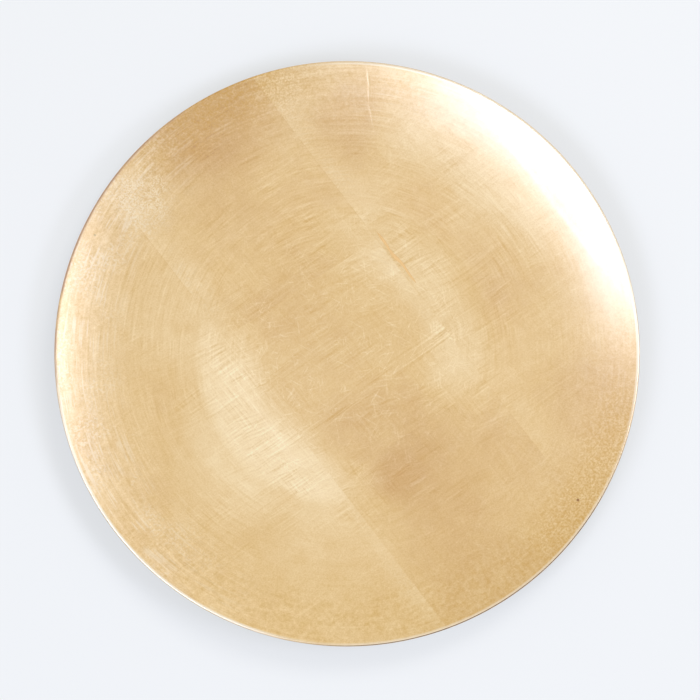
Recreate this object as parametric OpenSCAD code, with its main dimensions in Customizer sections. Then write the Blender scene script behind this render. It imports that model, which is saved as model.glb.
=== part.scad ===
// Gilded charger plate: a shallow turned dish with a foot ring, lacquered and laid with square metal leaves.
// The origin is the middle of the face that the foot ring stands on, and +Z is up.

/* [Plate] */
// Diameter over the lip
plate_d = 330; // [290:1:360]
// Width of the upturned rim, from the turn of the face to the outer edge
lip_w = 48; // [38:1:58]
// Radius of the rounded lip over its coats
lip_r = 1.1; // [1:0.1:1.8]
// Diameter of the ring crease around the well
well_d = 167; // [146:1:184]
// Diameter of the level floor in the middle of the well
floor_d = 104; // [70:1:130]
// Slope of the face just inside the ring crease, in degrees
well_slope = 2.5; // [1:0.5:3]
// Slope that the face gains at the ring crease, in degrees
crease_angle = 2.5; // [1:0.5:3]
// Slope of the face where it turns up into the rim, in degrees
turn_slope = 6.5; // [6:0.5:9]
// Slope of the face where it meets the rounded lip, in degrees
lip_slope = 19.5; // [14:0.5:28]

/* [Core and foot] */
// Thickness of the core under the level floor
core_t = 4; // [3:0.25:7]
// Distance from the foot ring to where the underside starts to rise
base_margin = 6; // [4:0.5:16]
// Mean diameter of the foot ring
foot_d = 167; // [120:1:176]
// Width of the foot ring
foot_w = 8; // [5:0.5:12]
// Height of the core's underside above the table
foot_h = 2.5; // [1.5:0.25:6]
// Depth of the groove that the foot ring is glued into
seat_depth = 1; // [0.5:0.25:2]
// Glue gap on each side of the foot ring
glue_gap = 0.1; // [0.05:0.05:0.3]
// Radius of the foot ring's two lower edges
foot_edge_r = 1; // [0.5:0.25:2]

/* [Coats] */
// Thickness of the lacquer coats over the core
coat_t = 0.35; // [0.2:0.05:0.5]
// Thickness of one leaf with its size and its share of the clear lacquer
leaf_t = 0.15; // [0.1:0.05:0.3]
// How far the leaf is turned over the crest of the lip, in degrees
leaf_wrap = 40; // [10:5:80]

/* [Leaf layout] */
// Side of one square leaf
leaf_w = 112; // [80:1:160]
// Width by which a leaf laps over the one laid before it
lap_w = 9.5; // [4:0.5:14]
// Width of the step where a lap comes down to the ground
step_w = 0.8; // [0.4:0.1:2]
// Narrowest strip that gets a leaf of its own
least_scrap = 8; // [5:0.5:20]
// Direction of the long seams, in degrees from +X
strip_angle = 127.6; // [100:0.1:160]
// Direction of the cross seams, in degrees from +X
cross_angle = 33; // [15:0.5:55]
// Distance of the middle strip's first edge from the centre, towards the upper right
strip_shift = 53; // [20:1:80]

/* [Tear] */
// Length of the tear in the torn leaf
tear_l = 37; // [10:1:50]
// Width of the tear at its middle
tear_w = 1.6; // [0.5:0.1:3]
// Distance from the long seam to the middle of the tear
tear_inset = 2.6; // [2:0.1:6]
// Distance from the cross seam to the near end of the tear
tear_start = 6; // [1:0.5:30]

/* [Hidden] */
$fn = 180;
plate_r = plate_d / 2;
well_r = well_d / 2;
floor_r = floor_d / 2;
turn_r = plate_r - lip_w;
foot_in_r = (foot_d - foot_w) / 2;
foot_out_r = (foot_d + foot_w) / 2;
base_r = foot_out_r + base_margin;

// Steps along each bend of the section
well_steps = 5;
flare_steps = 10;
lip_steps = 8;
round_steps = 13;
under_round_steps = 7;
under_steps = 12;
edge_steps = 6;
slope_tries = 12;

// The core's own lip lies under the lacquer and one leaf
core_lip_r = lip_r - coat_t - leaf_t;
lip_centre_r = plate_r - core_lip_r - coat_t;
lip_start_r = lip_centre_r - core_lip_r * sin(lip_slope);
flare_slope = well_slope + crease_angle;

// Heights of the core's face where its bends meet
floor_z = foot_h + core_t;
well_z = floor_z + rise(floor_r, 0, well_r, well_slope);
turn_z = well_z + rise(well_r, flare_slope, turn_r, turn_slope);
lip_start_z = turn_z + rise(turn_r, turn_slope, lip_start_r, lip_slope);
lip_centre_z = lip_start_z - core_lip_r * cos(lip_slope);
under_slope = settled_slope(lip_slope, slope_tries);
under_bend_r = (lip_centre_r + core_lip_r * sin(under_slope) - base_r) / sin(under_slope);

// An arc's chord has the mean of its end slopes
function rise(r0, slope0, r1, slope1) = (r1 - r0) * tan((slope0 + slope1) / 2);

// The underside leaves the base level and reaches the lip on one arc, so its slope there is found step by step
function settled_slope(slope, tries) =
    tries == 0 ? slope
    : settled_slope(2 * atan((lip_centre_z - core_lip_r * cos(slope) - foot_h)
                             / (lip_centre_r + core_lip_r * sin(slope) - base_r)), tries - 1);

// Inner points of an arc of the face, as [radius, height, heading]
function bend(r0, z0, slope0, r1, slope1, steps) = [
    for (i = [1:steps - 1])
        let (r = r0 + (r1 - r0) * i / steps)
        let (slope = asin(sin(slope0) + (sin(slope1) - sin(slope0)) * i / steps))
        [r, z0 + rise(r0, slope0, r, slope), slope]
];

// Points around the lip from one heading to another
function lip_round(from, to, steps) = [
    for (i = [0:steps])
        let (heading = from + (to - from) * i / steps)
        [lip_centre_r - core_lip_r * sin(heading), lip_centre_z + core_lip_r * cos(heading), heading]
];

face_path = concat(
    [[0, floor_z, 0], [floor_r, floor_z, 0]],
    bend(floor_r, floor_z, 0, well_r, well_slope, well_steps),
    [[well_r, well_z, well_slope + crease_angle / 2]],
    bend(well_r, well_z, flare_slope, turn_r, turn_slope, flare_steps),
    [[turn_r, turn_z, turn_slope]],
    bend(turn_r, turn_z, turn_slope, lip_start_r, lip_slope, lip_steps));
ground_path = concat(face_path, lip_round(lip_slope, -90, round_steps));
under_path = concat(
    lip_round(-90, under_slope - 180, under_round_steps),
    [for (i = [under_steps - 1:-1:0])
        let (slope = under_slope * i / under_steps)
        [base_r + under_bend_r * sin(slope), foot_h + under_bend_r * (1 - cos(slope)), slope - 180]],
    [[0, foot_h, -180]]);

function tail(path) = [for (i = [1:len(path) - 1]) path[i]];

// The leaf ends half way along one step of the lip's round
round_step = (lip_slope + 90) / round_steps;
leaf_end = lip_slope - (floor((lip_slope + leaf_wrap) / round_step) + 0.5) * round_step;

// A point moved out from the core, square to its surface
function raised(p, d) = [p[0] - d * sin(p[2]), p[1] + d * cos(p[2])];

// Section of a coat between two distances from the core
function coat(path, d0, d1) = concat(
    [for (p = path) raised(p, d1)],
    [for (i = [len(path) - 1:-1:0]) raised(path[i], d0)]);

// Leaves lie in strips, counted from the upper right, and in rows along a strip, counted from the lower right.
// A leaf's first two edges lap over the leaves before it, and its last two run on under those after it.
pitch = leaf_w - lap_w;
lap_reach = lap_w + step_w;
beyond = plate_r + lap_reach;
strip_out = strip_angle + 90;
row_out = cross_angle + 90;
// Place of the first cross seam in each strip, as a share of the pitch
row_phase = [0, -0.463, -0.556, -0.498, 0];

// Bands between parallel seams, as [number of the last edge's seam, first edge, last edge]
function bands(half, shift) =
    let (first = ceil((least_scrap - half - shift) / pitch))
    let (last = floor((half - least_scrap - shift) / pitch))
    [for (k = [first:last + 1])
        [k, k == first ? -beyond : shift + (k - 1) * pitch, k > last ? beyond : shift + k * pitch]];
function nearest(n0, n1) = n0 < 0 && n1 > 0 ? 0 : min(abs(n0), abs(n1));
function half_chord(n) = sqrt(plate_r * plate_r - n * n);

LEAVES = [
    for (strip = bands(plate_r, -strip_shift))
        let (n0 = strip[1])
        let (n1 = strip[2])
        let (phase = row_phase[(strip[0] + len(row_phase) + 1) % len(row_phase)])
        for (row = bands(half_chord(nearest(n0, n1)), phase * pitch))
            [str("leaf_", chr(98 + strip[0]), row[0] + 1), n0, n1, row[1], row[2]]
];
TORN_LEAF = "leaf_b2";

// The point at a distance across the strips and a distance along the rows
function spot(n, t) =
    let (across = [cos(strip_out), sin(strip_out)])
    let (along = [cos(row_out), sin(row_out)])
    let (d = across[0] * along[1] - across[1] * along[0])
    [n * along[1] - t * across[1], t * across[0] - n * along[0]] / d;

module turned(section) {
    rotate_extrude() polygon(section);
}

// Upright column over an outline of [across, along] points
module column(outline) {
    linear_extrude(height = lip_centre_z + 2 * lip_r) polygon([for (p = outline) spot(p[0], p[1])]);
}

// Shell between two levels over the ground, counted in leaves
module shell(level0, level1) {
    turned(coat(ground_path, coat_t + level0 * leaf_t, coat_t + level1 * leaf_t));
}

// Room around the lip past the end of the gilding
module past_gilding() {
    centre = [lip_centre_r, lip_centre_z];
    reach = 3 * lip_r;
    turned([centre, centre + reach * [-sin(leaf_end), cos(leaf_end)],
            centre + reach * [1, cos(leaf_end)], centre + reach * [1, -1], centre + reach * [0, -1]]);
}

// Channel that the foot ring sits in
module foot_channel() {
    turned([[foot_in_r - glue_gap, 0], [foot_out_r + glue_gap, 0],
            [foot_out_r + glue_gap, foot_h + seat_depth], [foot_in_r - glue_gap, foot_h + seat_depth]]);
}

module plate_core() {
    section = concat(
        [for (p = ground_path) raised(p, 0)],
        [for (p = tail(under_path)) raised(p, 0)]);
    color("peru")
    difference() {
        turned(section);
        foot_channel();
    }
}

module foot_ring() {
    section = concat(
        [for (i = [0:edge_steps]) [foot_in_r + foot_edge_r, foot_edge_r]
            - foot_edge_r * [cos(90 * i / edge_steps), sin(90 * i / edge_steps)]],
        [for (i = [0:edge_steps]) [foot_out_r - foot_edge_r, foot_edge_r]
            + foot_edge_r * [sin(90 * i / edge_steps), -cos(90 * i / edge_steps)]],
        [[foot_out_r, foot_h + seat_depth], [foot_in_r, foot_h + seat_depth]]);
    color("saddlebrown") turned(section);
}

module ground_coat() {
    color("sienna") turned(coat(ground_path, 0, coat_t));
}

module back_coat() {
    color("#3a2a20")
    difference() {
        turned(coat(under_path, 0, coat_t));
        foot_channel();
    }
}

// Slit with pointed ends, standing on the spot at its middle
module tear(n, t) {
    bow_r = (tear_l * tear_l + tear_w * tear_w) / (4 * tear_w);
    translate(spot(n, t)) rotate(strip_angle)
    linear_extrude(height = lip_centre_z + 2 * lip_r)
    intersection() {
        translate([0, bow_r - tear_w / 2]) circle(bow_r);
        translate([0, tear_w / 2 - bow_r]) circle(bow_r);
    }
}

module leaf(name, n0, n1, t0, t1) {
    n_in = n0 + lap_w;
    t_in = t0 + lap_w;
    n_on = n1 + lap_w;
    t_on = t1 + lap_w;
    n_down = n0 + lap_reach;
    t_down = t0 + lap_reach;
    outline = [[n0, t0], [n1, t0], [n1, t_in], [n_on, t_in], [n_on, t_on], [n_in, t_on], [n_in, t1], [n0, t1]];
    under_lap = [[n_in, t_in], [n1, t_in], [n_on, t0], [n_on, t0 - lap_w],
                 [n0 - lap_w, t0 - lap_w], [n0 - lap_w, t_on], [n0, t_on], [n_in, t1]];
    past_lap = [[n_down, t_down], [n1, t_down], [n1, t_in], [n_on, t0], [n_on + lap_w, t0],
                [n_on + lap_w, t_on + lap_w], [n0, t_on + lap_w], [n0, t_on], [n_in, t1], [n_down, t1]];
    color("#d3b373")
    difference() {
        intersection() {
            shell(0, 2);
            column(outline);
        }
        intersection() {
            shell(-1, 1);
            column(under_lap);
        }
        intersection() {
            shell(1, 3);
            column(past_lap);
        }
        past_gilding();
        if (name == TORN_LEAF) tear(n1 - tear_inset, t1 - tear_start - tear_l / 2);
    }
}

plate_core();
foot_ring();
ground_coat();
back_coat();
for (item = LEAVES) {
    leaf(item[0], item[1], item[2], item[3], item[4]);
}
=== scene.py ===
import math

import bmesh
import bpy
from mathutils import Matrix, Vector


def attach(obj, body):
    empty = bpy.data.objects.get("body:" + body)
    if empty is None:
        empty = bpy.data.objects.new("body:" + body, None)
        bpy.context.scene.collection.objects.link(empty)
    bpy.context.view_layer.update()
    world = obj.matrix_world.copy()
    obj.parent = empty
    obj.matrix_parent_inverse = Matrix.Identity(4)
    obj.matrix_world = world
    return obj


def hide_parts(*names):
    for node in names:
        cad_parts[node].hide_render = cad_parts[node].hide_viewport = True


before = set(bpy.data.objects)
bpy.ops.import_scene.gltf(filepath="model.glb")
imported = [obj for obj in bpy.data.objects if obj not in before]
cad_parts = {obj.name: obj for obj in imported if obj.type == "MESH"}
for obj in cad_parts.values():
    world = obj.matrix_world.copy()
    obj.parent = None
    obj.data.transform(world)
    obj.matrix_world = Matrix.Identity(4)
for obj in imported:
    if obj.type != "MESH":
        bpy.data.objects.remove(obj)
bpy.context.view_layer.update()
print("frame:", len(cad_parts), "nodes")

mm = 0.001
sharpEdge = math.radians(30)
cutSlack = 1e-7  # metres


class Wire:  # one socket of a node tree, so that node maths reads as plain sums
    def __init__(self, tree, socket=None):
        self.tree = tree
        self.socket = socket

    def node(self, kind, settings=None, inputs=None, out=0):  # settings first, then values or links
        made = self.tree.nodes.new(kind)
        for name, value in (settings or {}).items():
            if name == "stops":
                ramp = made.color_ramp
                while len(ramp.elements) < len(value):
                    ramp.elements.new(1.0)
                for element, (place, colour) in zip(ramp.elements, value):
                    element.position = place
                    element.color = colour
            else:
                setattr(made, name, value)
        for name, value in (inputs or {}).items():
            target = made.inputs[name]
            if isinstance(value, Wire):
                self.tree.links.new(value.socket, target)
            else:
                target.default_value = value
        return Wire(self.tree, made.outputs[out])

    def also(self, out):  # another output of the same node
        return Wire(self.tree, self.socket.node.outputs[out])

    def maths(self, operation, *others):
        return self.node("ShaderNodeMath", {"operation": operation}, dict(enumerate((self, *others))))

    def vector(self, operation, *others, out=0):
        return self.node("ShaderNodeVectorMath", {"operation": operation}, dict(enumerate((self, *others))), out)

    def isVector(self):
        return self.socket.type in ("VECTOR", "RGBA")

    def scaled(self, factor):
        return self.node("ShaderNodeVectorMath", {"operation": "SCALE"}, {0: self, "Scale": factor})

    def __add__(self, other):
        return self.vector("ADD", other) if self.isVector() else self.maths("ADD", other)

    def __radd__(self, other):
        return self + other

    def __sub__(self, other):
        return self.vector("SUBTRACT", other) if self.isVector() else self.maths("SUBTRACT", other)

    def __rsub__(self, other):
        return self.node("ShaderNodeMath", {"operation": "SUBTRACT"}, {0: other, 1: self})

    def __mul__(self, other):
        return self.scaled(other) if self.isVector() else self.maths("MULTIPLY", other)

    def __rmul__(self, other):
        return self * other

    def __truediv__(self, other):
        return self.maths("DIVIDE", other)

    def __rtruediv__(self, other):
        return self.node("ShaderNodeMath", {"operation": "DIVIDE"}, {0: other, 1: self})

    def fade(self, low, high, atLow=0.0, atHigh=1.0):  # smooth step between two values
        return self.node("ShaderNodeMapRange", {"interpolation_type": "SMOOTHSTEP"},
                         {"Value": self, "From Min": low, "From Max": high, "To Min": atLow, "To Max": atHigh})

    def mix(self, first, second):  # self is the factor
        return self.node("ShaderNodeMix", {"data_type": "RGBA"}, {0: self, 6: first, 7: second}, 2)


def finish(mesh, name, body, slot, *nodes):
    mesh.shade_smooth()
    mesh.set_sharp_from_angle(angle=sharpEdge)
    piece = bpy.data.objects.new(name, mesh)
    bpy.context.scene.collection.objects.link(piece)
    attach(piece, body)
    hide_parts(*nodes)


def throughTree(mesh, tree, values):  # runs a mesh through a node tree and returns a plain mesh
    carrier = bpy.data.objects.new("carrier", mesh)
    bpy.context.scene.collection.objects.link(carrier)
    modifier = carrier.modifiers.new("tree", "NODES")
    modifier.node_group = tree
    for item in tree.interface.items_tree:
        if item.item_type == "SOCKET" and item.in_out == "INPUT" and item.name in values:
            modifier[item.identifier] = values[item.name]
    made = bpy.data.meshes.new_from_object(carrier.evaluated_get(bpy.context.evaluated_depsgraph_get()))
    carrier.modifiers.remove(modifier)
    bpy.data.objects.remove(carrier)
    return made


def newTree(name, inputs):
    tree = bpy.data.node_groups.new(name, "GeometryNodeTree")
    tree.interface.new_socket("Geometry", in_out="INPUT", socket_type="NodeSocketGeometry")
    for label, kind in inputs.items():
        tree.interface.new_socket(label, in_out="INPUT", socket_type="NodeSocket" + kind)
    tree.interface.new_socket("Geometry", in_out="OUTPUT", socket_type="NodeSocketGeometry")
    entry = Wire(tree).node("NodeGroupInput")
    return entry, {label: entry.also(label) for label in ("Geometry", *inputs)}


def endTree(shape, material):  # plain geometry with its finish, out of the tree
    real = shape.node("GeometryNodeRealizeInstances", {}, {"Geometry": shape})
    done = real.node("GeometryNodeSetMaterial", {}, {"Geometry": real, "Material": material})
    leave = shape.tree.nodes.new("NodeGroupOutput")
    shape.tree.links.new(done.socket, leave.inputs[0])
    return shape.tree


plateForm = {  # millimetres and degrees
    "plateR": 165.0, "turnR": 117.0, "wellR": 83.5, "floorR": 52.0, "lipR": 1.1,
    "wellSlope": 2.5, "flareSlope": 5.0, "turnSlope": 6.5, "lipSlope": 19.5,
    "floorZ": 6.5, "footH": 2.5, "baseR": 93.5, "coatT": 0.35, "leafT": 0.15, "leafEnd": -43.67,
    "creaseHalf": 0.7, "segments": 360, "weld": 0.002,
    "floorStep": 4.0, "wellStep": 2.1, "flareStep": 2.4, "rimStep": 1.6,  # from ring to ring
    "lipSteps": 10, "edgeSteps": 8, "underSteps": 36,
}
form = plateForm
coreLipR = form["lipR"] - form["coatT"] - form["leafT"]
lipCentreR = form["plateR"] - coreLipR - form["coatT"]
lipStartR = lipCentreR - coreLipR * math.sin(math.radians(form["lipSlope"]))


def rise(r0, slope0, r1, slope1):  # an arc's chord has the mean of its end slopes
    return (r1 - r0) * math.tan(math.radians((slope0 + slope1) / 2))


def arcPoint(r, r0, z0, slope0, r1, slope1):
    low, high = math.sin(math.radians(slope0)), math.sin(math.radians(slope1))
    slope = math.degrees(math.asin(low + (high - low) * (r - r0) / (r1 - r0)))
    return (r, z0 + rise(r0, slope0, r, slope), slope)


wellZ = form["floorZ"] + rise(form["floorR"], 0, form["wellR"], form["wellSlope"])
turnZ = wellZ + rise(form["wellR"], form["flareSlope"], form["turnR"], form["turnSlope"])
lipStartZ = turnZ + rise(form["turnR"], form["turnSlope"], lipStartR, form["lipSlope"])
lipCentreZ = lipStartZ - coreLipR * math.cos(math.radians(form["lipSlope"]))


def facePoint(r):  # radius, height and slope of the core's face
    if r <= form["floorR"]:
        return (r, form["floorZ"], 0.0)
    if r < form["wellR"]:
        return arcPoint(r, form["floorR"], form["floorZ"], 0, form["wellR"], form["wellSlope"])
    if r == form["wellR"]:
        return (r, wellZ, (form["wellSlope"] + form["flareSlope"]) / 2)
    if r < form["turnR"]:
        return arcPoint(r, form["wellR"], wellZ, form["flareSlope"], form["turnR"], form["turnSlope"])
    return arcPoint(r, form["turnR"], turnZ, form["turnSlope"], lipStartR, form["lipSlope"])


def spread(first, last, step):
    count = max(1, round((last - first) / step))
    return [first + (last - first) * i / count for i in range(count)]


def lipRound(start, end, steps):
    found = []
    for i in range(steps + 1):
        heading = start + (end - start) * i / steps
        turn = math.radians(heading)
        found.append((lipCentreR - coreLipR * math.sin(turn), lipCentreZ + coreLipR * math.cos(turn), heading))
    return found


def raised(point, distance):  # moved out from the core, square to its surface
    r, z, heading = point
    turn = math.radians(heading)
    return (r - distance * math.sin(turn), z + distance * math.cos(turn), heading)


creaseStart, creaseEnd = form["wellR"] - form["creaseHalf"], form["wellR"] + form["creaseHalf"]
faceRadii = (spread(0, form["floorR"], form["floorStep"]) + spread(form["floorR"], creaseStart, form["wellStep"])
             + [creaseStart, form["wellR"], creaseEnd]
             + spread(creaseEnd, form["turnR"], form["flareStep"])[1:]
             + spread(form["turnR"], lipStartR, form["rimStep"]))
leafPath = [facePoint(r) for r in faceRadii] + lipRound(form["lipSlope"], form["leafEnd"], form["lipSteps"])
groundPath = leafPath + lipRound(form["leafEnd"], -90, form["edgeSteps"])[1:]


def underEnd(slope):  # from the base's edge to the lip's lower end, across and up
    turn = math.radians(slope)
    return (lipCentreR + coreLipR * math.sin(turn) - form["baseR"],
            lipCentreZ - coreLipR * math.cos(turn) - form["footH"])


underSlope = form["lipSlope"]
for attempt in range(12):  # the underside reaches the lip on one arc
    across, up = underEnd(underSlope)
    underSlope = 2 * math.degrees(math.atan(up / across))
underBend = underEnd(underSlope)[0] / math.sin(math.radians(underSlope))
underArc = [underSlope * i / form["underSteps"] for i in range(form["underSteps"] - 1, -1, -1)]
underPath = lipRound(-90, underSlope - 180, form["lipSteps"]) + [
    (form["baseR"] + underBend * math.sin(math.radians(slope)),
     form["footH"] + underBend * (1 - math.cos(math.radians(slope))), slope - 180) for slope in underArc]
print("section: lip centre", round(lipCentreR, 3), round(lipCentreZ, 3), "underside slope", round(underSlope, 2))


def turnedTree():  # turns the section that it is given around the Z axis
    entry, given = newTree("turnedForm", {"Segments": "Int", "Flip": "Bool", "Finish": "Material"})
    section = given["Geometry"]
    count = entry.node("GeometryNodeAttributeDomainSize", {"component": "MESH"}, {"Geometry": section},
                       "Point Count")
    grid = entry.node("GeometryNodeMeshGrid", {}, {"Vertices X": given["Segments"] + 1, "Vertices Y": count})
    index = entry.node("GeometryNodeInputIndex")
    column = (index / count).maths("FLOOR")
    row = index - column * count
    point = entry.node("GeometryNodeSampleIndex", {"data_type": "FLOAT_VECTOR", "domain": "POINT"},
                       {"Geometry": section, "Value": entry.node("GeometryNodeInputPosition"), "Index": row})
    radius = point.node("ShaderNodeSeparateXYZ", {}, {0: point})
    turn = column * (2 * math.pi) / given["Segments"]
    place = entry.node("ShaderNodeCombineXYZ", {}, {
        0: radius * turn.maths("COSINE"), 1: radius * turn.maths("SINE"), 2: radius.also(2)})
    shaped = grid.node("GeometryNodeSetPosition", {}, {"Geometry": grid, "Position": place})
    closed = shaped.node("GeometryNodeMergeByDistance", {}, {"Geometry": shaped, "Distance": form["weld"] * mm})
    turned = closed.node("GeometryNodeFlipFaces", {}, {"Mesh": closed, "Selection": given["Flip"]})
    return endTree(turned, given["Finish"])


turnedForm = turnedTree()


def turnedMesh(section, material, flip=False):
    line = bpy.data.meshes.new("section")
    points = [(r * mm, 0, z * mm) for r, z in section]
    line.from_pydata(points, [(i, i + 1) for i in range(len(points) - 1)], [])
    return throughTree(line, turnedForm, {"Segments": form["segments"], "Flip": flip, "Finish": material})


def coatSection(path, near, far):
    outer = [raised(p, far)[:2] for p in path]
    inner = [raised(p, near)[:2] for p in reversed(path)]
    return outer + inner


goldLeaf = bpy.data.materials.new("goldLeaf")
redGround = bpy.data.materials.new("redGround")
backLacquer = bpy.data.materials.new("backLacquer")
footLacquer = bpy.data.materials.new("footLacquer")
woodFibre = bpy.data.materials.new("woodFibre")
for finishMaterial in (goldLeaf, redGround, backLacquer, footLacquer, woodFibre):
    finishMaterial.use_nodes = True

finish(turnedMesh(coatSection(groundPath, 0, form["coatT"]), redGround),
       "groundCoat", "root", "red_ground", "ground_coat")

footForm = {"middleR": 83.5, "width": 8.0, "seat": 1.0, "gap": 0.1, "edgeR": 1.0, "edgeSteps": 8}


def footSection():
    half, edge = footForm["width"] / 2, footForm["edgeR"]
    inside, outside = footForm["middleR"] - half, footForm["middleR"] + half
    top = form["footH"] + footForm["seat"]
    bends = [math.radians(90 * i / footForm["edgeSteps"]) for i in range(footForm["edgeSteps"] + 1)]
    section = [(inside + edge - edge * math.cos(b), edge - edge * math.sin(b)) for b in bends]
    section += [(outside - edge + edge * math.sin(b), edge - edge * math.cos(b)) for b in bends]
    return section + [(outside, top), (inside, top), section[0]]


finish(turnedMesh(footSection(), footLacquer, True), "footRing", "root", "foot_lacquer", "foot_ring")


def backMesh():  # the underside's coat, outside and inside the foot ring
    channel = footForm["width"] / 2 + footForm["gap"]
    innerR, outerR = footForm["middleR"] - channel, footForm["middleR"] + channel
    high, low = form["footH"], form["footH"] - form["coatT"]
    rim = [p for p in underPath if p[0] > outerR] + [(outerR, high, -180)]
    rimSection = coatSection(rim, 0, form["coatT"])
    joined = bmesh.new()
    joined.from_mesh(turnedMesh(rimSection + rimSection[:1], backLacquer))
    disc = [(0, low), (innerR, low), (innerR, high), (0, high)]
    joined.from_mesh(turnedMesh(disc, backLacquer, True))
    mesh = bpy.data.meshes.new("backCoat")
    joined.to_mesh(mesh)
    joined.free()
    mesh.materials.append(backLacquer)
    return mesh


finish(backMesh(), "backCoat", "root", "back_lacquer", "back_coat")
print("turned coats and foot ring done")

leafLayout = {
    "leafW": 112.0, "lapW": 9.5, "stepW": 3.0, "showT": 0.06, "leastScrap": 8.0,
    "stripAngle": 127.6, "crossAngle": 33.0, "stripShift": 53.0,
    "rowPhase": [0, -0.463, -0.556, -0.498, 0], "seedStep": 2.9, "weld": 0.001,
}
lay = leafLayout
pitch = lay["leafW"] - lay["lapW"]
lapReach = lay["lapW"] + lay["stepW"]
beyond = form["plateR"] + lapReach  # past the plate's edge


def heading2d(degrees):
    return Vector((math.cos(math.radians(degrees)), math.sin(math.radians(degrees)), 0))


acrossWay = heading2d(lay["stripAngle"] + 90)
alongWay = heading2d(lay["crossAngle"] + 90)


def bands(half, shift):  # seam number, first edge and last edge of each band
    first = math.ceil((lay["leastScrap"] - half - shift) / pitch)
    last = math.floor((half - lay["leastScrap"] - shift) / pitch)
    return [(k, -beyond if k == first else shift + (k - 1) * pitch, beyond if k > last else shift + k * pitch)
            for k in range(first, last + 2)]


def leafPlaces():
    found = []
    for k, n0, n1 in bands(form["plateR"], -lay["stripShift"]):
        near = 0 if n0 < 0 < n1 else min(abs(n0), abs(n1))
        phase = lay["rowPhase"][(k + 1) % len(lay["rowPhase"])]
        for row, t0, t1 in bands(math.sqrt(form["plateR"] ** 2 - near ** 2), phase * pitch):
            found.append(("leaf_" + chr(ord("b") + k) + str(row + 1), n0, n1, t0, t1))
    return found


sheetRings = [raised(p, form["coatT"]) for p in leafPath]


def headingAt(r):  # heading of the ground at a radius
    for (r0, _, h0), (r1, _, h1) in zip(sheetRings, sheetRings[1:]):
        if r <= r1:
            return h0 + (h1 - h0) * (r - r0) / (r1 - r0)
    return sheetRings[-1][2]


def gildedSheet():  # the ground's surface as one sheet of rings
    sheet = bmesh.new()
    count = form["segments"]
    turns = [2 * math.pi * i / count for i in range(count)]
    middle = sheet.verts.new((0, 0, sheetRings[0][1] * mm))
    rings = [[sheet.verts.new((r * mm * math.cos(turn), r * mm * math.sin(turn), z * mm)) for turn in turns]
             for r, z, _ in sheetRings[1:]]
    for i in range(count):
        sheet.faces.new((middle, rings[0][i], rings[0][(i + 1) % count]))
    for inner, outer in zip(rings, rings[1:]):
        for i in range(count):
            j = (i + 1) % count
            sheet.faces.new((inner[i], outer[i], outer[j], inner[j]))
    return sheet


wholeSheet = gildedSheet()


def bisect(sheet, way, distance, clear=None):
    everything = sheet.verts[:] + sheet.edges[:] + sheet.faces[:]
    bmesh.ops.bisect_plane(sheet, geom=everything, dist=cutSlack, plane_co=way * distance * mm, plane_no=way,
                           clear_inner=clear == "before", clear_outer=clear == "after")


tearForm = {  # bends are waves along the tear, by their pace and their start
    "leaf": "leaf_b2", "length": 37.0, "width": 1.7, "inset": 2.6, "start": 6.0, "steps": 14, "reach": 2.5,
    "wander": 0.45, "bend": (4.2, 0.6), "fray": 0.4, "frayBends": ((9.0, 1.0), (7.0, 2.5)),
}
foldForm = {
    "leaf": "leaf_b3", "from": (10.9, 161.5, 0), "to": (15.0, 122.9, 0), "height": 0.04, "width": 0.8,
    "wander": 0.5, "waves": (9.0, 31.0), "fineWave": 0.3, "lines": 4, "reach": 2.5,
    "breakSize": 4.0, "breaks": (0.34, 0.5, 0.4, 1.0), "fadeIn": (0.0, 0.1), "fadeOut": (0.75, 1.0, 1.0, 0.0),
}


def spot(n, t):  # the point that lies at these distances across and along the strips
    det = acrossWay.x * alongWay.y - acrossWay.y * alongWay.x
    return Vector((n * alongWay.y - t * acrossWay.y, acrossWay.x * t - alongWay.x * n, 0)) / det


def cutNear(sheet, first, last, reach):  # cuts along one short line, in the faces near it only
    for items in (sheet.verts, sheet.edges, sheet.faces):
        items.index_update()
    middle, way = (first + last) / 2, (last - first).normalized()
    side = Vector((-way.y, way.x, 0))
    half = (last - first).length / 2 + reach
    near = []
    for face in sheet.faces:
        off = face.calc_center_median() / mm - middle
        if abs(off.dot(way)) < half and abs(off.dot(side)) < reach:
            near.append(face)
    around = sorted({v for face in near for v in face.verts}, key=lambda v: v.index)
    around += sorted({e for face in near for e in face.edges}, key=lambda e: e.index)
    bmesh.ops.bisect_plane(sheet, geom=around + near, dist=cutSlack, plane_co=first * mm, plane_no=side)


def wave(v, bend):
    return math.sin(bend[0] * v + bend[1])


def tearOutline(n1, t1):
    way, side = heading2d(lay["stripAngle"]), heading2d(lay["stripAngle"] + 90)
    middle = spot(n1 - tearForm["inset"], t1 - tearForm["start"] - tearForm["length"] / 2)
    oneBend, otherBend = tearForm["frayBends"]
    edges = ([], [])
    for i in range(tearForm["steps"] + 1):
        v = 2 * i / tearForm["steps"] - 1
        drift = tearForm["wander"] * wave(v, tearForm["bend"]) * (1 - v * v)
        spine = middle + way * (v * tearForm["length"] / 2) + side * drift
        wide = tearForm["width"] / 2 * math.sqrt(1 - v * v)
        edges[0].append(spine + side * wide * (1 + tearForm["fray"] * wave(v, oneBend)))
        edges[1].append(spine - side * wide * (1 + tearForm["fray"] * wave(v, otherBend)))
    return edges[0] + edges[1][-2:0:-1]


def insideOutline(point, outline):
    inside = False
    for a, b in zip(outline, outline[1:] + outline[:1]):
        if (a.y > point.y) != (b.y > point.y):
            if point.x < a.x + (point.y - a.y) * (b.x - a.x) / (b.y - a.y):
                inside = not inside
    return inside


def tearOpen(sheet, n1, t1):
    outline = tearOutline(n1, t1)
    for first, last in zip(outline, outline[1:] + outline[:1]):
        cutNear(sheet, first, last, tearForm["reach"])
    gone = [face for face in sheet.faces if insideOutline(face.calc_center_median() / mm, outline)]
    bmesh.ops.delete(sheet, geom=gone, context="FACES")


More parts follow.
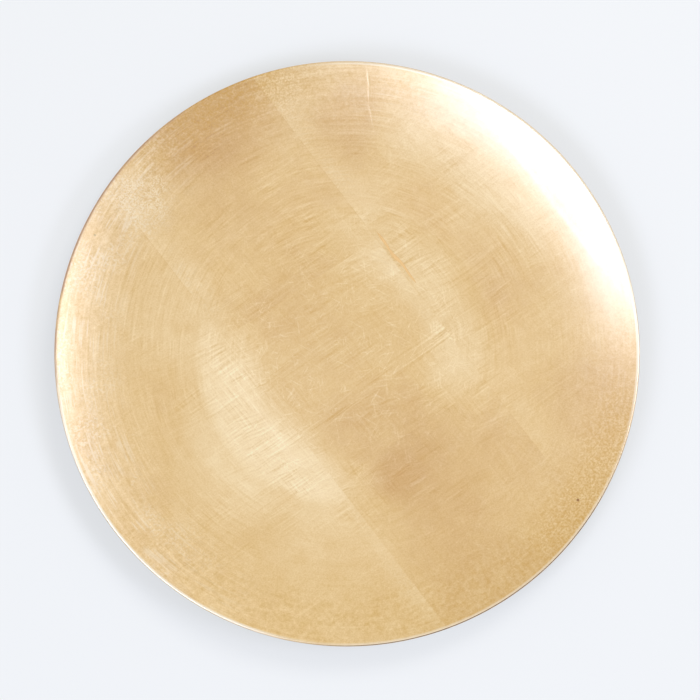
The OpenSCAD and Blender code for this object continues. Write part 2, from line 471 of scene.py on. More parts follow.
def foldLines(sheet):  # closer lines along the fold, for its ridge to follow
    first, last = Vector(foldForm["from"]), Vector(foldForm["to"])
    way = (last - first).normalized()
    side = Vector((-way.y, way.x, 0))
    reach, lines = foldForm["width"] + foldForm["wander"], foldForm["lines"]
    for i in range(-lines, lines + 1):
        off = side * (reach * i / lines)
        cutNear(sheet, first + off, last + off, reach + foldForm["reach"])


def cutSheet(name, n0, n1, t0, t1):
    sheet = wholeSheet.copy()
    bisect(sheet, acrossWay, n0, "before")
    bisect(sheet, acrossWay, n1 + lay["lapW"], "after")
    bisect(sheet, alongWay, t0, "before")
    bisect(sheet, alongWay, t1 + lay["lapW"], "after")
    for start, end, way in ((n0, n1, acrossWay), (t0, t1, alongWay)):
        for line in (start + lay["lapW"], start + lapReach, end):
            bisect(sheet, way, line)
    waste = []
    for face in sheet.faces:
        centre = face.calc_center_median() / mm
        n, t = centre.dot(acrossWay), centre.dot(alongWay)
        own = n < n1 and t < t1
        under = n > n0 + lapReach and t > t0 + lapReach
        if not (own or under):
            waste.append(face)
    bmesh.ops.delete(sheet, geom=waste, context="FACES")
    if name == tearForm["leaf"]:
        tearOpen(sheet, n1, t1)
    if name == foldForm["leaf"]:
        foldLines(sheet)
    mesh = bpy.data.meshes.new("sheet")
    sheet.to_mesh(mesh)
    sheet.free()
    outward = mesh.attributes.new("outward", "FLOAT_VECTOR", "POINT")
    for vertex, item in zip(mesh.vertices, outward.data):
        r = math.hypot(vertex.co.x, vertex.co.y)
        lean = math.radians(headingAt(r / mm))
        flat = Vector((vertex.co.x, vertex.co.y, 0)) / max(r, 1e-9)
        item.vector = Vector((0, 0, math.cos(lean))) - flat * math.sin(lean)
    return mesh


def noise(where, size, detail=2.0, twist=0.0, out=0):  # where and size in millimetres
    return where.node("ShaderNodeTexNoise", {"noise_dimensions": "3D"},
                      {"Vector": where, "Scale": 1 / size, "Detail": detail, "Distortion": twist}, out)


def laidTree():  # lays a cut sheet on the ground, one level up where it laps, and gives it its thickness
    entry, given = newTree("laidLeaf", {
        "First Across": "Float", "Last Across": "Float", "First Along": "Float", "Last Along": "Float",
        "Lap Width": "Float", "Step Width": "Float", "Thickness": "Float", "Show": "Vector", "Seed": "Float",
        "Fold From": "Vector", "Fold To": "Vector", "Fold Width": "Float", "Fold Height": "Float",
        "Wander": "Float", "Finish": "Material"})
    place = entry.node("GeometryNodeInputPosition")
    outward = entry.node("GeometryNodeInputNamedAttribute", {"data_type": "FLOAT_VECTOR"}, {"Name": "outward"})
    across = place.vector("DOT_PRODUCT", tuple(acrossWay), out=1)
    along = place.vector("DOT_PRODUCT", tuple(alongWay), out=1)
    acrossRun = across - given["First Across"]
    alongRun = along - given["First Along"]
    stepEnd = given["Lap Width"] + given["Step Width"]
    lapAcross = acrossRun.fade(given["Lap Width"], stepEnd, 1.0, 0.0)
    lapAlong = alongRun.fade(given["Lap Width"], stepEnd, 1.0, 0.0)
    level = lapAcross.maths("MAXIMUM", lapAlong)

    off = place - given["Fold From"]
    line = given["Fold To"] - given["Fold From"]
    way = line.vector("NORMALIZE")
    side = way.vector("CROSS_PRODUCT", (0, 0, 1))
    foldRun = off.vector("DOT_PRODUCT", way, out=1) / line.vector("LENGTH", out=1)
    slow, quick = ((foldRun * pace).maths("SINE") for pace in foldForm["waves"])
    waver = given["Wander"] * (slow + quick * foldForm["fineWave"])
    broken = noise(place * (1 / mm), foldForm["breakSize"], 1.0).fade(*foldForm["breaks"])
    aside = (off.vector("DOT_PRODUCT", side, out=1) + waver).maths("ABSOLUTE")
    ridge = aside.fade(0.0, given["Fold Width"], 1.0, 0.0) * broken
    ridge = ridge * foldRun.fade(*foldForm["fadeIn"]) * foldRun.fade(*foldForm["fadeOut"])

    run = entry.node("ShaderNodeCombineXYZ", {}, {0: acrossRun, 1: alongRun, 2: ridge})
    left = entry.node("ShaderNodeCombineXYZ", {}, {0: given["Last Across"] - across,
                                                   1: given["Last Along"] - along, 2: 0.0})
    marked = given["Geometry"]
    for name, kind, value in (("edgeRun", "FLOAT_VECTOR", run), ("edgeLeft", "FLOAT_VECTOR", left),
                              ("leafShow", "FLOAT_VECTOR", given["Show"]), ("leafSeed", "FLOAT", given["Seed"])):
        marked = marked.node("GeometryNodeStoreNamedAttribute", {"data_type": kind, "domain": "POINT"},
                             {"Geometry": marked, "Name": name, "Value": value})
    lifted = outward * (level * given["Thickness"] + ridge * given["Fold Height"])
    seated = marked.node("GeometryNodeSetPosition", {}, {"Geometry": marked, "Offset": lifted})
    top = seated.node("GeometryNodeExtrudeMesh", {"mode": "FACES"},
                      {"Mesh": seated, "Offset": outward, "Offset Scale": given["Thickness"], "Individual": False})
    bottom = seated.node("GeometryNodeFlipFaces", {}, {"Mesh": seated})
    both = entry.tree.nodes.new("GeometryNodeJoinGeometry")
    entry.tree.links.new(top.socket, both.inputs[0])
    entry.tree.links.new(bottom.socket, both.inputs[0])
    joined = Wire(entry.tree, both.outputs[0])
    closed = joined.node("GeometryNodeMergeByDistance", {}, {"Geometry": joined, "Distance": lay["weld"] * mm})
    return endTree(closed, given["Finish"])


laidLeaf = laidTree()
leafShow = {  # tone of a leaf, and how far the lap shows along its first and its last long edge
    "leaf_b2": (0.05, 0.0, 0.3), "leaf_b3": (0.05, 0.0, 0.9), "leaf_c1": (-0.15, 0.5, 0.0),
    "leaf_c2": (0.0, 0.6, 0.0), "leaf_c3": (-0.15, 0.0, 1.0), "leaf_d1": (0.05, 0.6, 0.0),
}

for number, (name, n0, n1, t0, t1) in enumerate(leafPlaces()):
    mesh = throughTree(cutSheet(name, n0, n1, t0, t1), laidLeaf, {
        "First Across": n0 * mm, "Last Across": n1 * mm, "First Along": t0 * mm, "Last Along": t1 * mm,
        "Lap Width": lay["lapW"] * mm, "Step Width": lay["stepW"] * mm, "Thickness": lay["showT"] * mm,
        "Show": leafShow.get(name, (0.0, 0.0, 0.0)), "Seed": number * lay["seedStep"],
        "Fold From": Vector(foldForm["from"]) * mm, "Fold To": Vector(foldForm["to"]) * mm,
        "Fold Width": foldForm["width"] * mm,
        "Fold Height": (name == foldForm["leaf"]) * foldForm["height"] * mm,
        "Wander": foldForm["wander"] * mm, "Finish": goldLeaf})
    finish(mesh, name.replace("leaf_", "goldLeaf_"), "root", "gold_leaf", name)
wholeSheet.free()
print("leaves laid")

markDetail = 1.5
arcR = 110.0  # where turned marks have the length that is asked for


def surfacePlace(material):  # place on the piece in millimetres
    return Wire(material.node_tree).node("ShaderNodeTexCoord", out="Object") * (1 / mm)


def flatPlace(place):
    return place.vector("MULTIPLY", (1, 1, 0))


def aroundMiddle(flat):  # radius and outward way
    return flat.vector("LENGTH", out=1), flat.vector("NORMALIZE")


def unrest(where, size, detail=2.0):  # noise about nought
    return noise(where, size, detail) - 0.5


def jitter(where, size, detail=2.0):  # the same as a vector
    return noise(where, size, detail, out=1) - (0.5, 0.5, 0.5)


def brokenArcs(radius, outwards, pitchMm, lengthMm):  # turned marks around the middle, about nought on average
    lift = radius.node("ShaderNodeCombineXYZ", {}, {2: radius / pitchMm})
    return unrest(outwards * (arcR / lengthMm) + lift, 1.0, markDetail)


def tilted(place, lean):  # the surface's normal, leaned a little
    return (place.node("ShaderNodeNewGeometry", out="Normal") + lean).vector("NORMALIZE")


def connect(material, uniform, **varying):
    shader = material.node_tree.nodes["Principled BSDF"]
    for name, value in uniform.items():
        shader.inputs[name].default_value = value
    for name, wire in varying.items():
        material.node_tree.links.new(wire.socket, shader.inputs[name.replace("_", " ")])


gilding = {  # millimetres and degrees; angles say which side of the plate
    "warm": (0.655, 0.336, 0.044, 1), "gold": (0.80, 0.486, 0.126, 1), "pale": (0.955, 0.67, 0.285, 1),
    "metal": 0.3, "rough": 0.30, "roughSize": 28.0, "roughSpread": 0.10, "bareRough": 0.2,
    "lacquerRough": 0.35, "lacquerIor": 2.3, "baredCoat": 0.8, "tarnishCoat": 0.35,
    "seedStep": 31.0, "cloudSize": 45.0, "cloudSpread": 0.55, "blotSize": 7.0, "blotSpread": 0.30,
    "toneShare": 0.5, "patchCore": 0.25,
    "patches": (  # x, y, radius and tone of warmer and paler places: partly the leaf's own tone, partly painted shade and painted highlight on the face and rim
        (24, -54, 48, -0.2), (29, -69, 20, -0.6), (5, -20, 26, -0.3), (-66, -66, 42, 0.35), (30, -28, 24, -0.3),
        (-82, 138, 54, -1.0), (-117, 88, 26, 0.1), (58, -68, 58, -0.42), (0, 132, 36, -0.6),
        (140, -24, 44, -0.4), (-39, 22, 24, -0.3), (0, -45, 26, -0.4), (88, 52, 45, -0.3), (-152, -4, 34, 0.25),
        (0, 66, 28, 0.3), (0, -105, 40, 0.25), (-100, 20, 40, 0.25), (48, 82, 26, -0.25), (77, -132, 40, -0.2)),
    "burnishFull": 0.97,
    "burnishes": (  # painted highlights on the face, paler arcs where the lamps' glints fall: direction, width of its fade, start, full, still full and end of its radius, tone
        (222.0, 0.42, 38, 68, 79, 89, 0.55), (26.0, 0.3, 40, 54, 64, 92, 0.24),
        (225.0, 0.5, 80, 86, 95, 108, 0.16), (55.0, 0.82, 104, 124, 136, 150, 0.26)),
    "raggedSize": 14.0, "raggedWidth": 9.0, "bandTone": 0.3, "edgeLine": 0.5, "edgeShade": 0.05,
    "firstBand": (-6, 2), "lastBand": (-8, 10),  # where a lap's tone ends, from the lap's own end
    "calmAngle": 305.0, "ringPitch": 2.6, "ringLength": 30.0, "ringShade": 0.20, "ringSlope": 0.03,
    "hairPitch": 1.05, "hairLength": 20.0, "hairShade": 0.078, "hairSlope": 0.010, "hairCut": (0.07, 0.15),
    "streakFrom": (-43.5, -57.1, 0), "streakAngle": 34.8,
    "hatches": (  # heading, pitch, length, amount, and what the streak and the painted highlight arcs add to it
        (35.0, 1.1, 40.0, 1.0, 1.2, 0.0), (22.0, 1.2, 30.0, 0.6, 0.0, 0.7), (129.0, 1.1, 26.0, 0.6, 0.0, 0.7)),
    "hatchShade": 0.085, "hatchSlope": 0.012, "hatchCut": (0.07, 0.16), "hatchGain": 1.5,
    "hatchBend": 2.5, "bendSize": 38.0, "bundleTurn": 4.0, "bundlePitch": 3.4, "bundleShade": 0.12,
    "scratches": (8.0, 61.0, 98.0, 152.0), "scratchPitch": 0.8, "scratchLength": 13.0, "scratchShade": 0.13,
    "crinkleSize": 2.6, "crinkleShade": 0.45, "foldShade": 0.18,
    "grainSize": 0.8, "grainShade": 0.29, "grainSlope": 0.03, "markTint": (0.55, 0.62, 0.52),
    # the pale scuffs of the rim are wear, but at 185 and 38 they lie under the lamps' highlights, where they are also
    # painted highlight
    "wornSides": ((185.0, 1.0), (106.0, 0.12), (38.0, 0.3)), "wornShade": 0.45, "wornBand": 0.4,
    "wornMost": 0.85, "wornPitch": 1.1, "wornLength": 22.0, "scuffed": (0.95, 0.76, 0.46, 1),
    "flakePlace": (-117, 88, 0), "flakeRagged": 2.2, "flakeShade": 0.8, "flaked": (0.94, 0.71, 0.37, 1),
    "tarnishSides": ((334.0, 1.0), (119.0, 0.9)), "tarnishShade": 0.7, "tarnish": (0.64, 0.32, 0.02, 1),
    # painted highlight: the rim made paler and whiter under the lamp's highlight at the upper right, and pale lines
    # along the lip on the lit sides
    "shineAngle": 40.0, "paleAngle": 222.0, "hazeShade": 0.4, "haze": (0.90, 0.78, 0.56, 1),
    "lipAngle": 157.0, "lipPitch": 3.0, "lipLength": 9.0, "lipRub": (0.50, 0.25, 0.09, 1),
    # painted shade: a dark line at the lip's outer edge on the side away from the lamps, with a painted pale line
    # inside it
    "darkAngle": 302.0, "darkShine": 0.6, "lipDark": (0.13, 0.065, 0.03, 1),
    "fleckPlace": (130.3, -82.5, 0), "fleckRagged": 0.15, "fleckColour": (0.36, 0.17, 0.05, 1),
    "fades": {  # from, to, and the values there where they aren't 0 and 1
        "lapStart": (4.0, 34.0, 0.35, 1.0),
        "ringStart": (25, 75, 0.15, 1.0), "ringRim": (132, 152, 0.0, 0.35), "calm": (0.2, 0.9, 1.0, 0.4),
        "streakSide": (2.0, 7.0, 1.0, 0.0), "streakStart": (-15.0, 20.0), "streakEnd": (118.0, 178.0, 1.0, 0.0),
        "hatchRim": (80, 125, 1.0, 0.55), "scratchRim": (50, 90, 1.0, 0.35), "scratchCut": (0.10, 0.17),
        "crinkleRim": (122, 152), "grainRim": (85, 150, 1.0, 1.3),
        "wornSide": (0.3, 0.9), "wornRim": (118, 150), "wornCut": (0.02, 0.12), "flakeReach": (8, 24, 1.0, 0.0),
        "tarnishSide": (0.88, 0.99), "tarnishRim": (130, 156), "hazeSide": (0.76, 0.97), "hazeRim": (134, 152),
        "lipSide": (0.72, 0.95), "lipRim": (163.2, 164.4), "lipCut": (-0.16, 0.06),
        "shineSide": (0.4, 0.85), "paleSide": (0.72, 0.92), "shineRim": (162.7, 163.6),
        "darkSide": (0.68, 0.94), "darkRim": (164.15, 164.55), "fleckReach": (0.6, 1.1, 1.0, 0.0),
    },
    "spots": {  # size and detail of a noise, and the fade that makes spots of it
        "lap": (40.0, 1.0, 0.36, 0.6, 0.25, 1.0), "ring": (26.0, 2.0, 0.38, 0.64, 0.3, 1.0),
        "hatch": (24.0, 2.0, 0.44, 0.64, 0.15, 1.0), "scratch": (9.0, 1.0, 0.5, 0.62),
        "worn": (16.0, 3.0, 0.4, 0.6), "mottle": (1.5, 5.0, 0.45, 0.66), "mottleCloud": (22.0, 4.0, 0.40, 0.62),
        "flake": (0.9, 5.0, 0.40, 0.62), "flakeCloud": (5.0, 3.0, 0.30, 0.56), "tarnish": (1.1, 5.0, 0.42, 0.62),
    },
}


def gildedFinish():
    look = gilding
    place = surfacePlace(goldLeaf)
    flat = flatPlace(place)
    radius, outwards = aroundMiddle(flat)
    number = place.node("ShaderNodeAttribute", {"attribute_name": "leafSeed"}, out="Fac")
    onLeaf = place + place.node("ShaderNodeCombineXYZ", {}, {2: number * look["seedStep"]})  # new on each leaf
    bent = flat + jitter(flat, look["bendSize"], 1.0) * look["hatchBend"]

    def faded(wire, name):
        return wire.fade(*look["fades"][name])

    def spots(where, name):
        size, detail, *limits = look["spots"][name]
        return noise(where, size, detail).fade(*limits)

    def parts(name, scale):  # the three numbers of an attribute
        found = place.node("ShaderNodeAttribute", {"attribute_name": name}, out="Vector") * scale
        split = place.node("ShaderNodeSeparateXYZ", {}, {0: found})
        return split, split.also(1), split.also(2)

    def reach(where, angle):  # how far a place lies along a heading
        return where.vector("DOT_PRODUCT", tuple(heading2d(angle)), out=1)

    def distance(name):
        return flat.vector("DISTANCE", look[name], out=1)

    def side(angle, name):
        return faded(reach(outwards, angle), name)

    def sides(name, fadeName):
        return sum(side(angle, fadeName) * amount for angle, amount in look[name])

    def arcs(name):
        return brokenArcs(radius, outwards, look[name + "Pitch"], look[name + "Length"])

    def strokes(angle, pitchMm, lengthMm):  # straight rubbing marks, new on each leaf
        run, aside = reach(bent, angle) / lengthMm, reach(bent, angle + 90) / pitchMm
        where = place.node("ShaderNodeCombineXYZ", {}, {0: run, 1: aside, 2: number + angle})
        return unrest(where, 1.0, markDetail)

    def thin(marks, cut):  # the strongest marks alone, pale ones less dark ones
        low, high = cut
        return marks.fade(low, high) - marks.fade(-high, -low, 1.0, 0.0)

    # tone of each leaf and its laps, the painted highlights on the face, and the patches of tone and painted light
    tone, runBand, leftBand = parts("leafShow", 1.0)
    acrossRun, alongRun = parts("edgeRun", 1 / mm)[:2]
    ridge = parts("edgeRun", 1.0)[2]
    acrossLeft = parts("edgeLeft", 1 / mm)[0]
    ragged = unrest(onLeaf, look["raggedSize"], 4.0) * look["raggedWidth"]

    def lapTone(run, limits):
        return (run + ragged).fade(lay["lapW"] + limits[0], lay["lapW"] + limits[1], 1.0, 0.0)

    band = runBand * lapTone(acrossRun, look["firstBand"]) + leftBand * lapTone(acrossLeft, look["lastBand"])
    band = band * spots(onLeaf, "lap") * faded(alongRun + ragged, "lapStart")  # fades in and out along its seam
    # painted highlight: paler arcs on the face where the lamps' glints fall, where the marks are also stronger
    arcHighlight = sum(reach(outwards, angle).fade(width, look["burnishFull"]) * radius.fade(r0, r1)
                  * radius.fade(r2, r3, amount, 0.0) for angle, width, r0, r1, r2, r3, amount in look["burnishes"])
    mood = 0.5 + (tone + band * look["bandTone"]) * look["toneShare"] + arcHighlight
    mood = mood + unrest(onLeaf, look["cloudSize"], 5.0) * look["cloudSpread"]
    mood = mood + unrest(onLeaf, look["blotSize"], 3.0) * look["blotSpread"]
    # patches of tone: partly the leaf's own, partly painted shade and painted highlight
    for x, y, size, amount in look["patches"]:
        away = flat.vector("DISTANCE", (x, y, 0), out=1)
        mood = mood + away.fade(look["patchCore"] * size, size, amount * look["toneShare"], 0.0)
    colour = place.node("ShaderNodeValToRGB",
                        {"stops": [(0.0, look["warm"]), (0.5, look["gold"]), (1.0, look["pale"])]}, {0: mood})

    # rubbing marks, turned and straight
    outer = faded(radius, "ringStart") * spots(place + (3.0, 1.0, 9.0), "ring") + faded(radius, "ringRim")
    outer = outer * side(look["calmAngle"], "calm")
    rings = arcs("ring") * outer
    hairs = thin(arcs("hair"), look["hairCut"]) * outer
    shade = rings * look["ringShade"] + hairs * look["hairShade"]
    lean = outwards * (rings * look["ringSlope"] + hairs * look["hairSlope"])
    off = flat - look["streakFrom"]
    run, aside = reach(off, look["streakAngle"]), reach(off, look["streakAngle"] + 90).maths("ABSOLUTE")
    streak = faded(aside, "streakSide") * faded(run, "streakStart") * faded(run, "streakEnd")
    for i, (angle, pitchMm, lengthMm, amount, onStreak, onHighlight) in enumerate(look["hatches"]):
        where = spots(place + (71.0 * i, 37.0, 19.0), "hatch") * (1.0 + arcHighlight * look["hatchGain"])
        where = where * faded(radius, "hatchRim") * amount + streak * onStreak + arcHighlight * onHighlight
        hatch = thin(strokes(angle, pitchMm, lengthMm), look["hatchCut"]) * where
        bundle = strokes(angle + look["bundleTurn"], look["bundlePitch"], lengthMm) * where
        shade = shade + hatch * look["hatchShade"] + bundle * look["bundleShade"]
        hatchSide = place.node("ShaderNodeCombineXYZ", {}, dict(enumerate(heading2d(angle + 90))))
        lean = lean + hatchSide * (hatch * look["hatchSlope"])
    for i, angle in enumerate(look["scratches"]):  # short marks, here and there
        kept = spots(place + (7.0, 3.0, 57.0 * i), "scratch") * faded(radius, "scratchRim")
        scratch = faded(strokes(angle, look["scratchPitch"], look["scratchLength"]), "scratchCut")
        shade = shade + scratch * kept * look["scratchShade"]
    crinkle = unrest(onLeaf, look["crinkleSize"], 4.0) * faded(radius, "crinkleRim")
    grain = unrest(place, look["grainSize"], 1.0) * faded(radius, "grainRim")
    # the fold's ridge is painted paler: a painted highlight along the wrinkle
    shade = shade + crinkle * look["crinkleShade"] + ridge * look["foldShade"] + grain * look["grainShade"]
    shade = shade - acrossRun.fade(0.0, look["edgeLine"], look["edgeShade"], 0.0)
    marks = place.node("ShaderNodeCombineColor", {}, {
        i: shade * amount for i, amount in enumerate(look["markTint"])})
    colour = place.node("ShaderNodeMix", {"data_type": "RGBA", "blend_type": "ADD", "clamp_result": True},
                        {0: 1.0, 6: colour, 7: marks}, 2)

    # wear of the rim and the lip, with painted highlight and painted shade on the rim and along the lip's edge
    # pale scuffs: wear, and on the lit sides also painted highlight
    worn = sides("wornSides", "wornSide") * faded(radius, "wornRim") + band * look["wornBand"]
    streaks = faded(arcs("worn"), "wornCut") * spots(place, "worn")
    mottle = spots(onLeaf, "mottle") * spots(place + (5.0, 5.0, 5.0), "mottleCloud")
    scuffs = (streaks.maths("MAXIMUM", mottle) * worn * look["wornShade"]).maths("MINIMUM", look["wornMost"])
    flakes = faded(distance("flakePlace") + ragged * look["flakeRagged"], "flakeReach")
    flakes = flakes * spots(onLeaf, "flake") * spots(onLeaf, "flakeCloud")
    tarnished = sides("tarnishSides", "tarnishSide") * faded(radius, "tarnishRim") * spots(place, "tarnish")
    # painted highlight: the upper right rim paler and whiter where the lamp's highlight falls
    haze = side(look["shineAngle"], "hazeSide") * faded(radius, "hazeRim")
    rubbed = side(look["lipAngle"], "lipSide") * faded(radius, "lipRim") * faded(arcs("lip"), "lipCut")
    # painted highlight along the lip's crest on the lit sides, and painted shade at its outer edge on the side away
    # from the lamps
    darkPart = side(look["darkAngle"], "darkSide")
    palePart = side(look["shineAngle"], "shineSide") + side(look["paleAngle"], "paleSide")
    shine = faded(radius, "shineRim") * (palePart + darkPart * look["darkShine"])
    paintedLipShade = faded(radius, "darkRim") * darkPart
    fleck = faded(distance("fleckPlace") + ragged * look["fleckRagged"], "fleckReach")
    for amount, tint in ((tarnished * look["tarnishShade"], "tarnish"), (flakes * look["flakeShade"], "flaked"),
                         (scuffs, "scuffed"), (haze * look["hazeShade"], "haze"), (rubbed, "lipRub"),
                         (shine, "scuffed"), (paintedLipShade, "lipDark"), (fleck, "fleckColour")):
        colour = amount.mix(colour, look[tint])

    uncoated = fleck.maths("MAXIMUM", paintedLipShade * look["baredCoat"])
    uncoated = uncoated.maths("MAXIMUM", tarnished * look["tarnishCoat"])
    lean = lean + jitter(place, look["grainSize"]) * look["grainSlope"]
    roughness = look["rough"] + unrest(place, look["roughSize"]) * look["roughSpread"]
    roughness = roughness + (rubbed + fleck) * look["bareRough"]
    connect(goldLeaf, {"Metallic": look["metal"], "Coat Roughness": look["lacquerRough"],
                       "Coat IOR": look["lacquerIor"]},
            Base_Color=colour, Roughness=roughness, Coat_Weight=1.0 - uncoated, Normal=tilted(place, lean))


groundLook = {
    "deep": (0.60, 0.315, 0.085, 1), "light": (0.76, 0.46, 0.165, 1), "cloudSize": 18.0, "clouds": (0.32, 0.52),
    "edge": (160, 164, 0.0, 0.45), "markPitch": 1.2, "markLength": 30.0, "markShade": 0.5, "markSlope": 0.05,
    "fineSize": 0.7, "fineShade": 0.5, "fineSlope": 0.04, "rough": 0.42, "roughSpread": 0.3,
    "coat": 0.25, "coatRough": 0.3,
}


def groundFinish():
    look = groundLook
    place = surfacePlace(redGround)
    radius, outwards = aroundMiddle(flatPlace(place))
    marks = brokenArcs(radius, outwards, look["markPitch"], look["markLength"])
    fine = unrest(place, look["fineSize"])
    tone = noise(place, look["cloudSize"], 4.0).fade(*look["clouds"]) - radius.fade(*look["edge"])
    tone = tone + marks * look["markShade"] + fine * look["fineShade"]
    lean = outwards * (marks * look["markSlope"] + fine * look["fineSlope"])
    connect(redGround, {"Coat Weight": look["coat"], "Coat Roughness": look["coatRough"]},
            Base_Color=tone.mix(look["deep"], look["light"]),
            Roughness=look["rough"] + fine * look["roughSpread"], Normal=tilted(place, lean))


lacquers = {
    "backLacquer": {"deep": (0.030, 0.016, 0.009, 1), "light": (0.090, 0.048, 0.026, 1), "rough": 0.36, "wear": 0.0},
    "footLacquer": {"deep": (0.026, 0.014, 0.008, 1), "light": (0.080, 0.043, 0.024, 1), "rough": 0.38, "wear": 0.85},
}
lacquerLook = {  # what both lacquers share
    "coat": 0.25, "coatRough": 0.2, "peelSize": 2.6, "peelSlope": 0.03,
    "markPitch": 1.6, "markLength": 60.0, "markShade": 0.6, "markSlope": 0.05,
    "smudgeSize": 34.0, "smudges": (0.3, 0.75), "smudgeRough": 0.3,
    "dust": (0.35, 0.32, 0.28, 1), "dustSize": 0.9, "dustCut": (0.66, 0.72), "dustShade": 0.25, "dustRough": 0.2,
    "dustCloudSize": 30.0, "dustClouds": (0.42, 0.62),
    "worn": (0.20, 0.12, 0.065, 1), "wornSize": 5.0, "wornCut": (0.40, 0.58), "wornRough": 0.35,
    "wornHeight": (0.0, 0.9, 1.0, 0.0),
}


def lacquerFinish(material):
    look, own = lacquerLook, lacquers[material.name]
    place = surfacePlace(material)
    radius, outwards = aroundMiddle(flatPlace(place))
    marks = brokenArcs(radius, outwards, look["markPitch"], look["markLength"])
    smudge = noise(place, look["smudgeSize"], 4.0)
    dust = noise(place, look["dustSize"], 1.0).fade(*look["dustCut"])
    dust = dust * noise(place + (9.0, 4.0, 2.0), look["dustCloudSize"]).fade(*look["dustClouds"])
    height = place.node("ShaderNodeSeparateXYZ", {}, {0: place}, 2)
    worn = noise(place, look["wornSize"], 4.0).fade(*look["wornCut"]) * height.fade(*look["wornHeight"])
    worn = worn * own["wear"]
    colour = (smudge.fade(*look["smudges"]) + marks * look["markShade"]).mix(own["deep"], own["light"])
    colour = (dust * look["dustShade"]).mix(colour, look["dust"])
    colour = worn.mix(colour, look["worn"])
    lean = outwards * (marks * look["markSlope"]) + jitter(place, look["peelSize"], 1.0) * look["peelSlope"]
    roughness = own["rough"] + (smudge - 0.5) * look["smudgeRough"]
    roughness = roughness + dust * look["dustRough"] + worn * look["wornRough"]
    connect(material, {"Coat Weight": look["coat"], "Coat Roughness": look["coatRough"]},
            Base_Color=colour, Roughness=roughness, Normal=tilted(place, lean))


fibreLook = {
    "deep": (0.20, 0.12, 0.06, 1), "light": (0.46, 0.31, 0.18, 1), "rough": 0.8, "roughSpread": 0.12,
    "ways": ((1.0, 0.2, 3.0), (0.2, 1.0, 3.0)), "size": 0.8, "twist": 1.2, "fibres": (0.42, 0.72, -0.1, 0.7),
    "cloudSize": 12.0, "cloudShade": 0.4,
}


def fibreFinish():
    look = fibreLook
    place = surfacePlace(woodFibre)
    fibres, crossed = (noise(place.vector("MULTIPLY", way), look["size"], 3.0, look["twist"])
                       for way in look["ways"])
    tone = fibres.maths("MAXIMUM", crossed).fade(*look["fibres"])
    tone = tone + noise(place, look["cloudSize"]) * look["cloudShade"]
    connect(woodFibre, {}, Base_Color=tone.mix(look["deep"], look["light"]),
            Roughness=look["rough"] + tone * look["roughSpread"])


gildedFinish()
groundFinish()
lacquerFinish(backLacquer)
lacquerFinish(footLacquer)
fibreFinish()
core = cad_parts["plate_core"]
core.data.materials.clear()
core.data.materials.append(woodFibre)
print("finishes made")


def seenDirectly(tree):  # by the camera, or mirrored in or through a surface
    ray = tree.node("ShaderNodeLightPath", out="Is Camera Ray")
    return (ray + ray.also("Is Glossy Ray") + ray.also("Is Transmission Ray")).maths("MINIMUM", 1.0)


def skyHeading(azimuth, elevation):
    az, el = math.radians(azimuth), math.radians(elevation)
    return Vector((math.cos(az) * math.cos(el), math.sin(az) * math.cos(el), math.sin(el)))


floorLook = {"half": 15.0, "colour": (0.82, 0.78, 0.70, 1), "rough": 0.9, "paper": (0.888, 0.910, 0.922, 1),
             "veil": 0.60}
floorMesh = bpy.data.meshes.new("floor")
half = floorLook["half"]
floorMesh.from_pydata([(-half, -half, 0), (half, -half, 0), (half, half, 0), (-half, half, 0)], [], [(0, 1, 2, 3)])
floor = bpy.data.objects.new("floor", floorMesh)
bpy.context.scene.collection.objects.link(floor)
floorPaint = bpy.data.materials.new("floorPaint")
floorPaint.use_nodes = True
floorNodes, floorLinks = floorPaint.node_tree.nodes, floorPaint.node_tree.links
connect(floorPaint, {"Base Color": floorLook["colour"], "Roughness": floorLook["rough"], "Specular IOR Level": 0.0})
floorTree = Wire(floorPaint.node_tree)
paper = floorTree.node("ShaderNodeEmission", {}, {"Color": floorLook["paper"], "Strength": 1.0})
veil = floorTree.node("ShaderNodeMixShader", {}, {0: seenDirectly(floorTree) * floorLook["veil"], 2: paper})
floorLinks.new(floorNodes["Principled BSDF"].outputs[0], veil.socket.node.inputs[1])
floorLinks.new(veil.socket, floorNodes["Material Output"].inputs["Surface"])
floorMesh.materials.append(floorPaint)

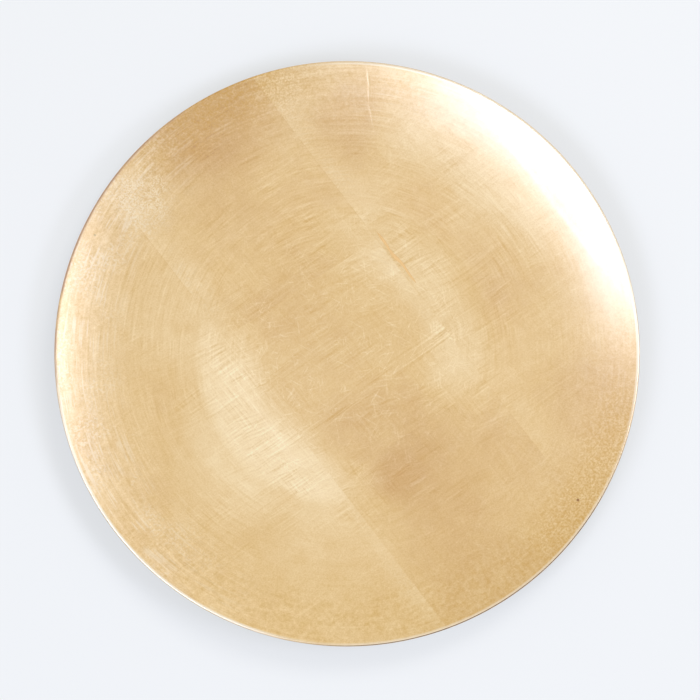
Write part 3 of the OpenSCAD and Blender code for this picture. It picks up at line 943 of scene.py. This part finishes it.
domeLight = {
    "top": 0.57, "side": 0.37, "climb": (0.45, 0.97), "colour": (0.985, 1.0, 1.03, 1),
    "dimAngle": 300, "dimElevation": 60, "dim": 0.24, "dimFade": (0.86, 0.985),
    "backdrop": 0.9, "backdropFade": (0.12, 0.34, 1.0, 0.0),
}
world = bpy.data.worlds.new("studio")
bpy.context.scene.world = world
world.use_nodes = True
sky = Wire(world.node_tree)
background = world.node_tree.nodes["Background"]
skyWay = sky.node("ShaderNodeTexCoord", out="Generated")
skyHeight = skyWay.node("ShaderNodeSeparateXYZ", {}, {0: skyWay}, 2)
skyLevel = skyHeight.fade(*domeLight["climb"], domeLight["side"], domeLight["top"])
dimWay = skyHeading(domeLight["dimAngle"], domeLight["dimElevation"])
dimmed = skyWay.vector("DOT_PRODUCT", tuple(dimWay), out=1).fade(*domeLight["dimFade"], 0.0, domeLight["dim"])
backdrop = seenDirectly(sky) * skyHeight.fade(*domeLight["backdropFade"])
skyLevel = skyLevel * (1.0 - dimmed) * (1.0 - backdrop) + backdrop * domeLight["backdrop"]
world.node_tree.links.new(skyLevel.socket, background.inputs["Strength"])
background.inputs["Color"].default_value = domeLight["colour"]

lamps = {
    "windowLamp": {"azimuth": 221.5, "elevation": 58.5, "distance": 1.6, "size": (0.90, 0.56), "radiance": 5.8,
                   "colour": (0.84, 0.98, 1.40)},
    "sideLamp": {"azimuth": -3, "elevation": 53, "distance": 1.6, "size": (0.58, 0.42), "radiance": 8.6,
                 "colour": (0.86, 0.99, 1.38)},
    "fillLamp": {"azimuth": 62, "elevation": 53, "distance": 1.6, "size": (0.62, 0.54), "radiance": 7.8,
                 "colour": (0.96, 1.0, 1.10), "glint": False},
}
for name, lamp in lamps.items():
    light = bpy.data.lights.new(name, "AREA")
    light.shape = "RECTANGLE"
    light.color = lamp["colour"]
    light.size, light.size_y = lamp["size"]
    light.energy = lamp["radiance"] * math.pi * light.size * light.size_y
    way = skyHeading(lamp["azimuth"], lamp["elevation"])
    holder = bpy.data.objects.new(name, light)
    holder.visible_glossy = lamp.get("glint", True)
    holder.location = way * lamp["distance"]
    holder.rotation_euler = way.to_track_quat("Z", "Y").to_euler()
    bpy.context.scene.collection.objects.link(holder)

cameraSet = {"place": (1.64, 2.14, 1620.0), "lens": 145.9, "sensor": 36, "clipEnd": 100}
eye = bpy.data.cameras.new("camera")
eye.lens = cameraSet["lens"]
eye.sensor_width = cameraSet["sensor"]
eye.clip_end = cameraSet["clipEnd"]
camera = bpy.data.objects.new("camera", eye)
camera.location = Vector(cameraSet["place"]) * mm
bpy.context.scene.collection.objects.link(camera)
bpy.context.scene.camera = camera
bpy.context.scene.view_settings.view_transform = "Standard"
print("floor, light and camera set")
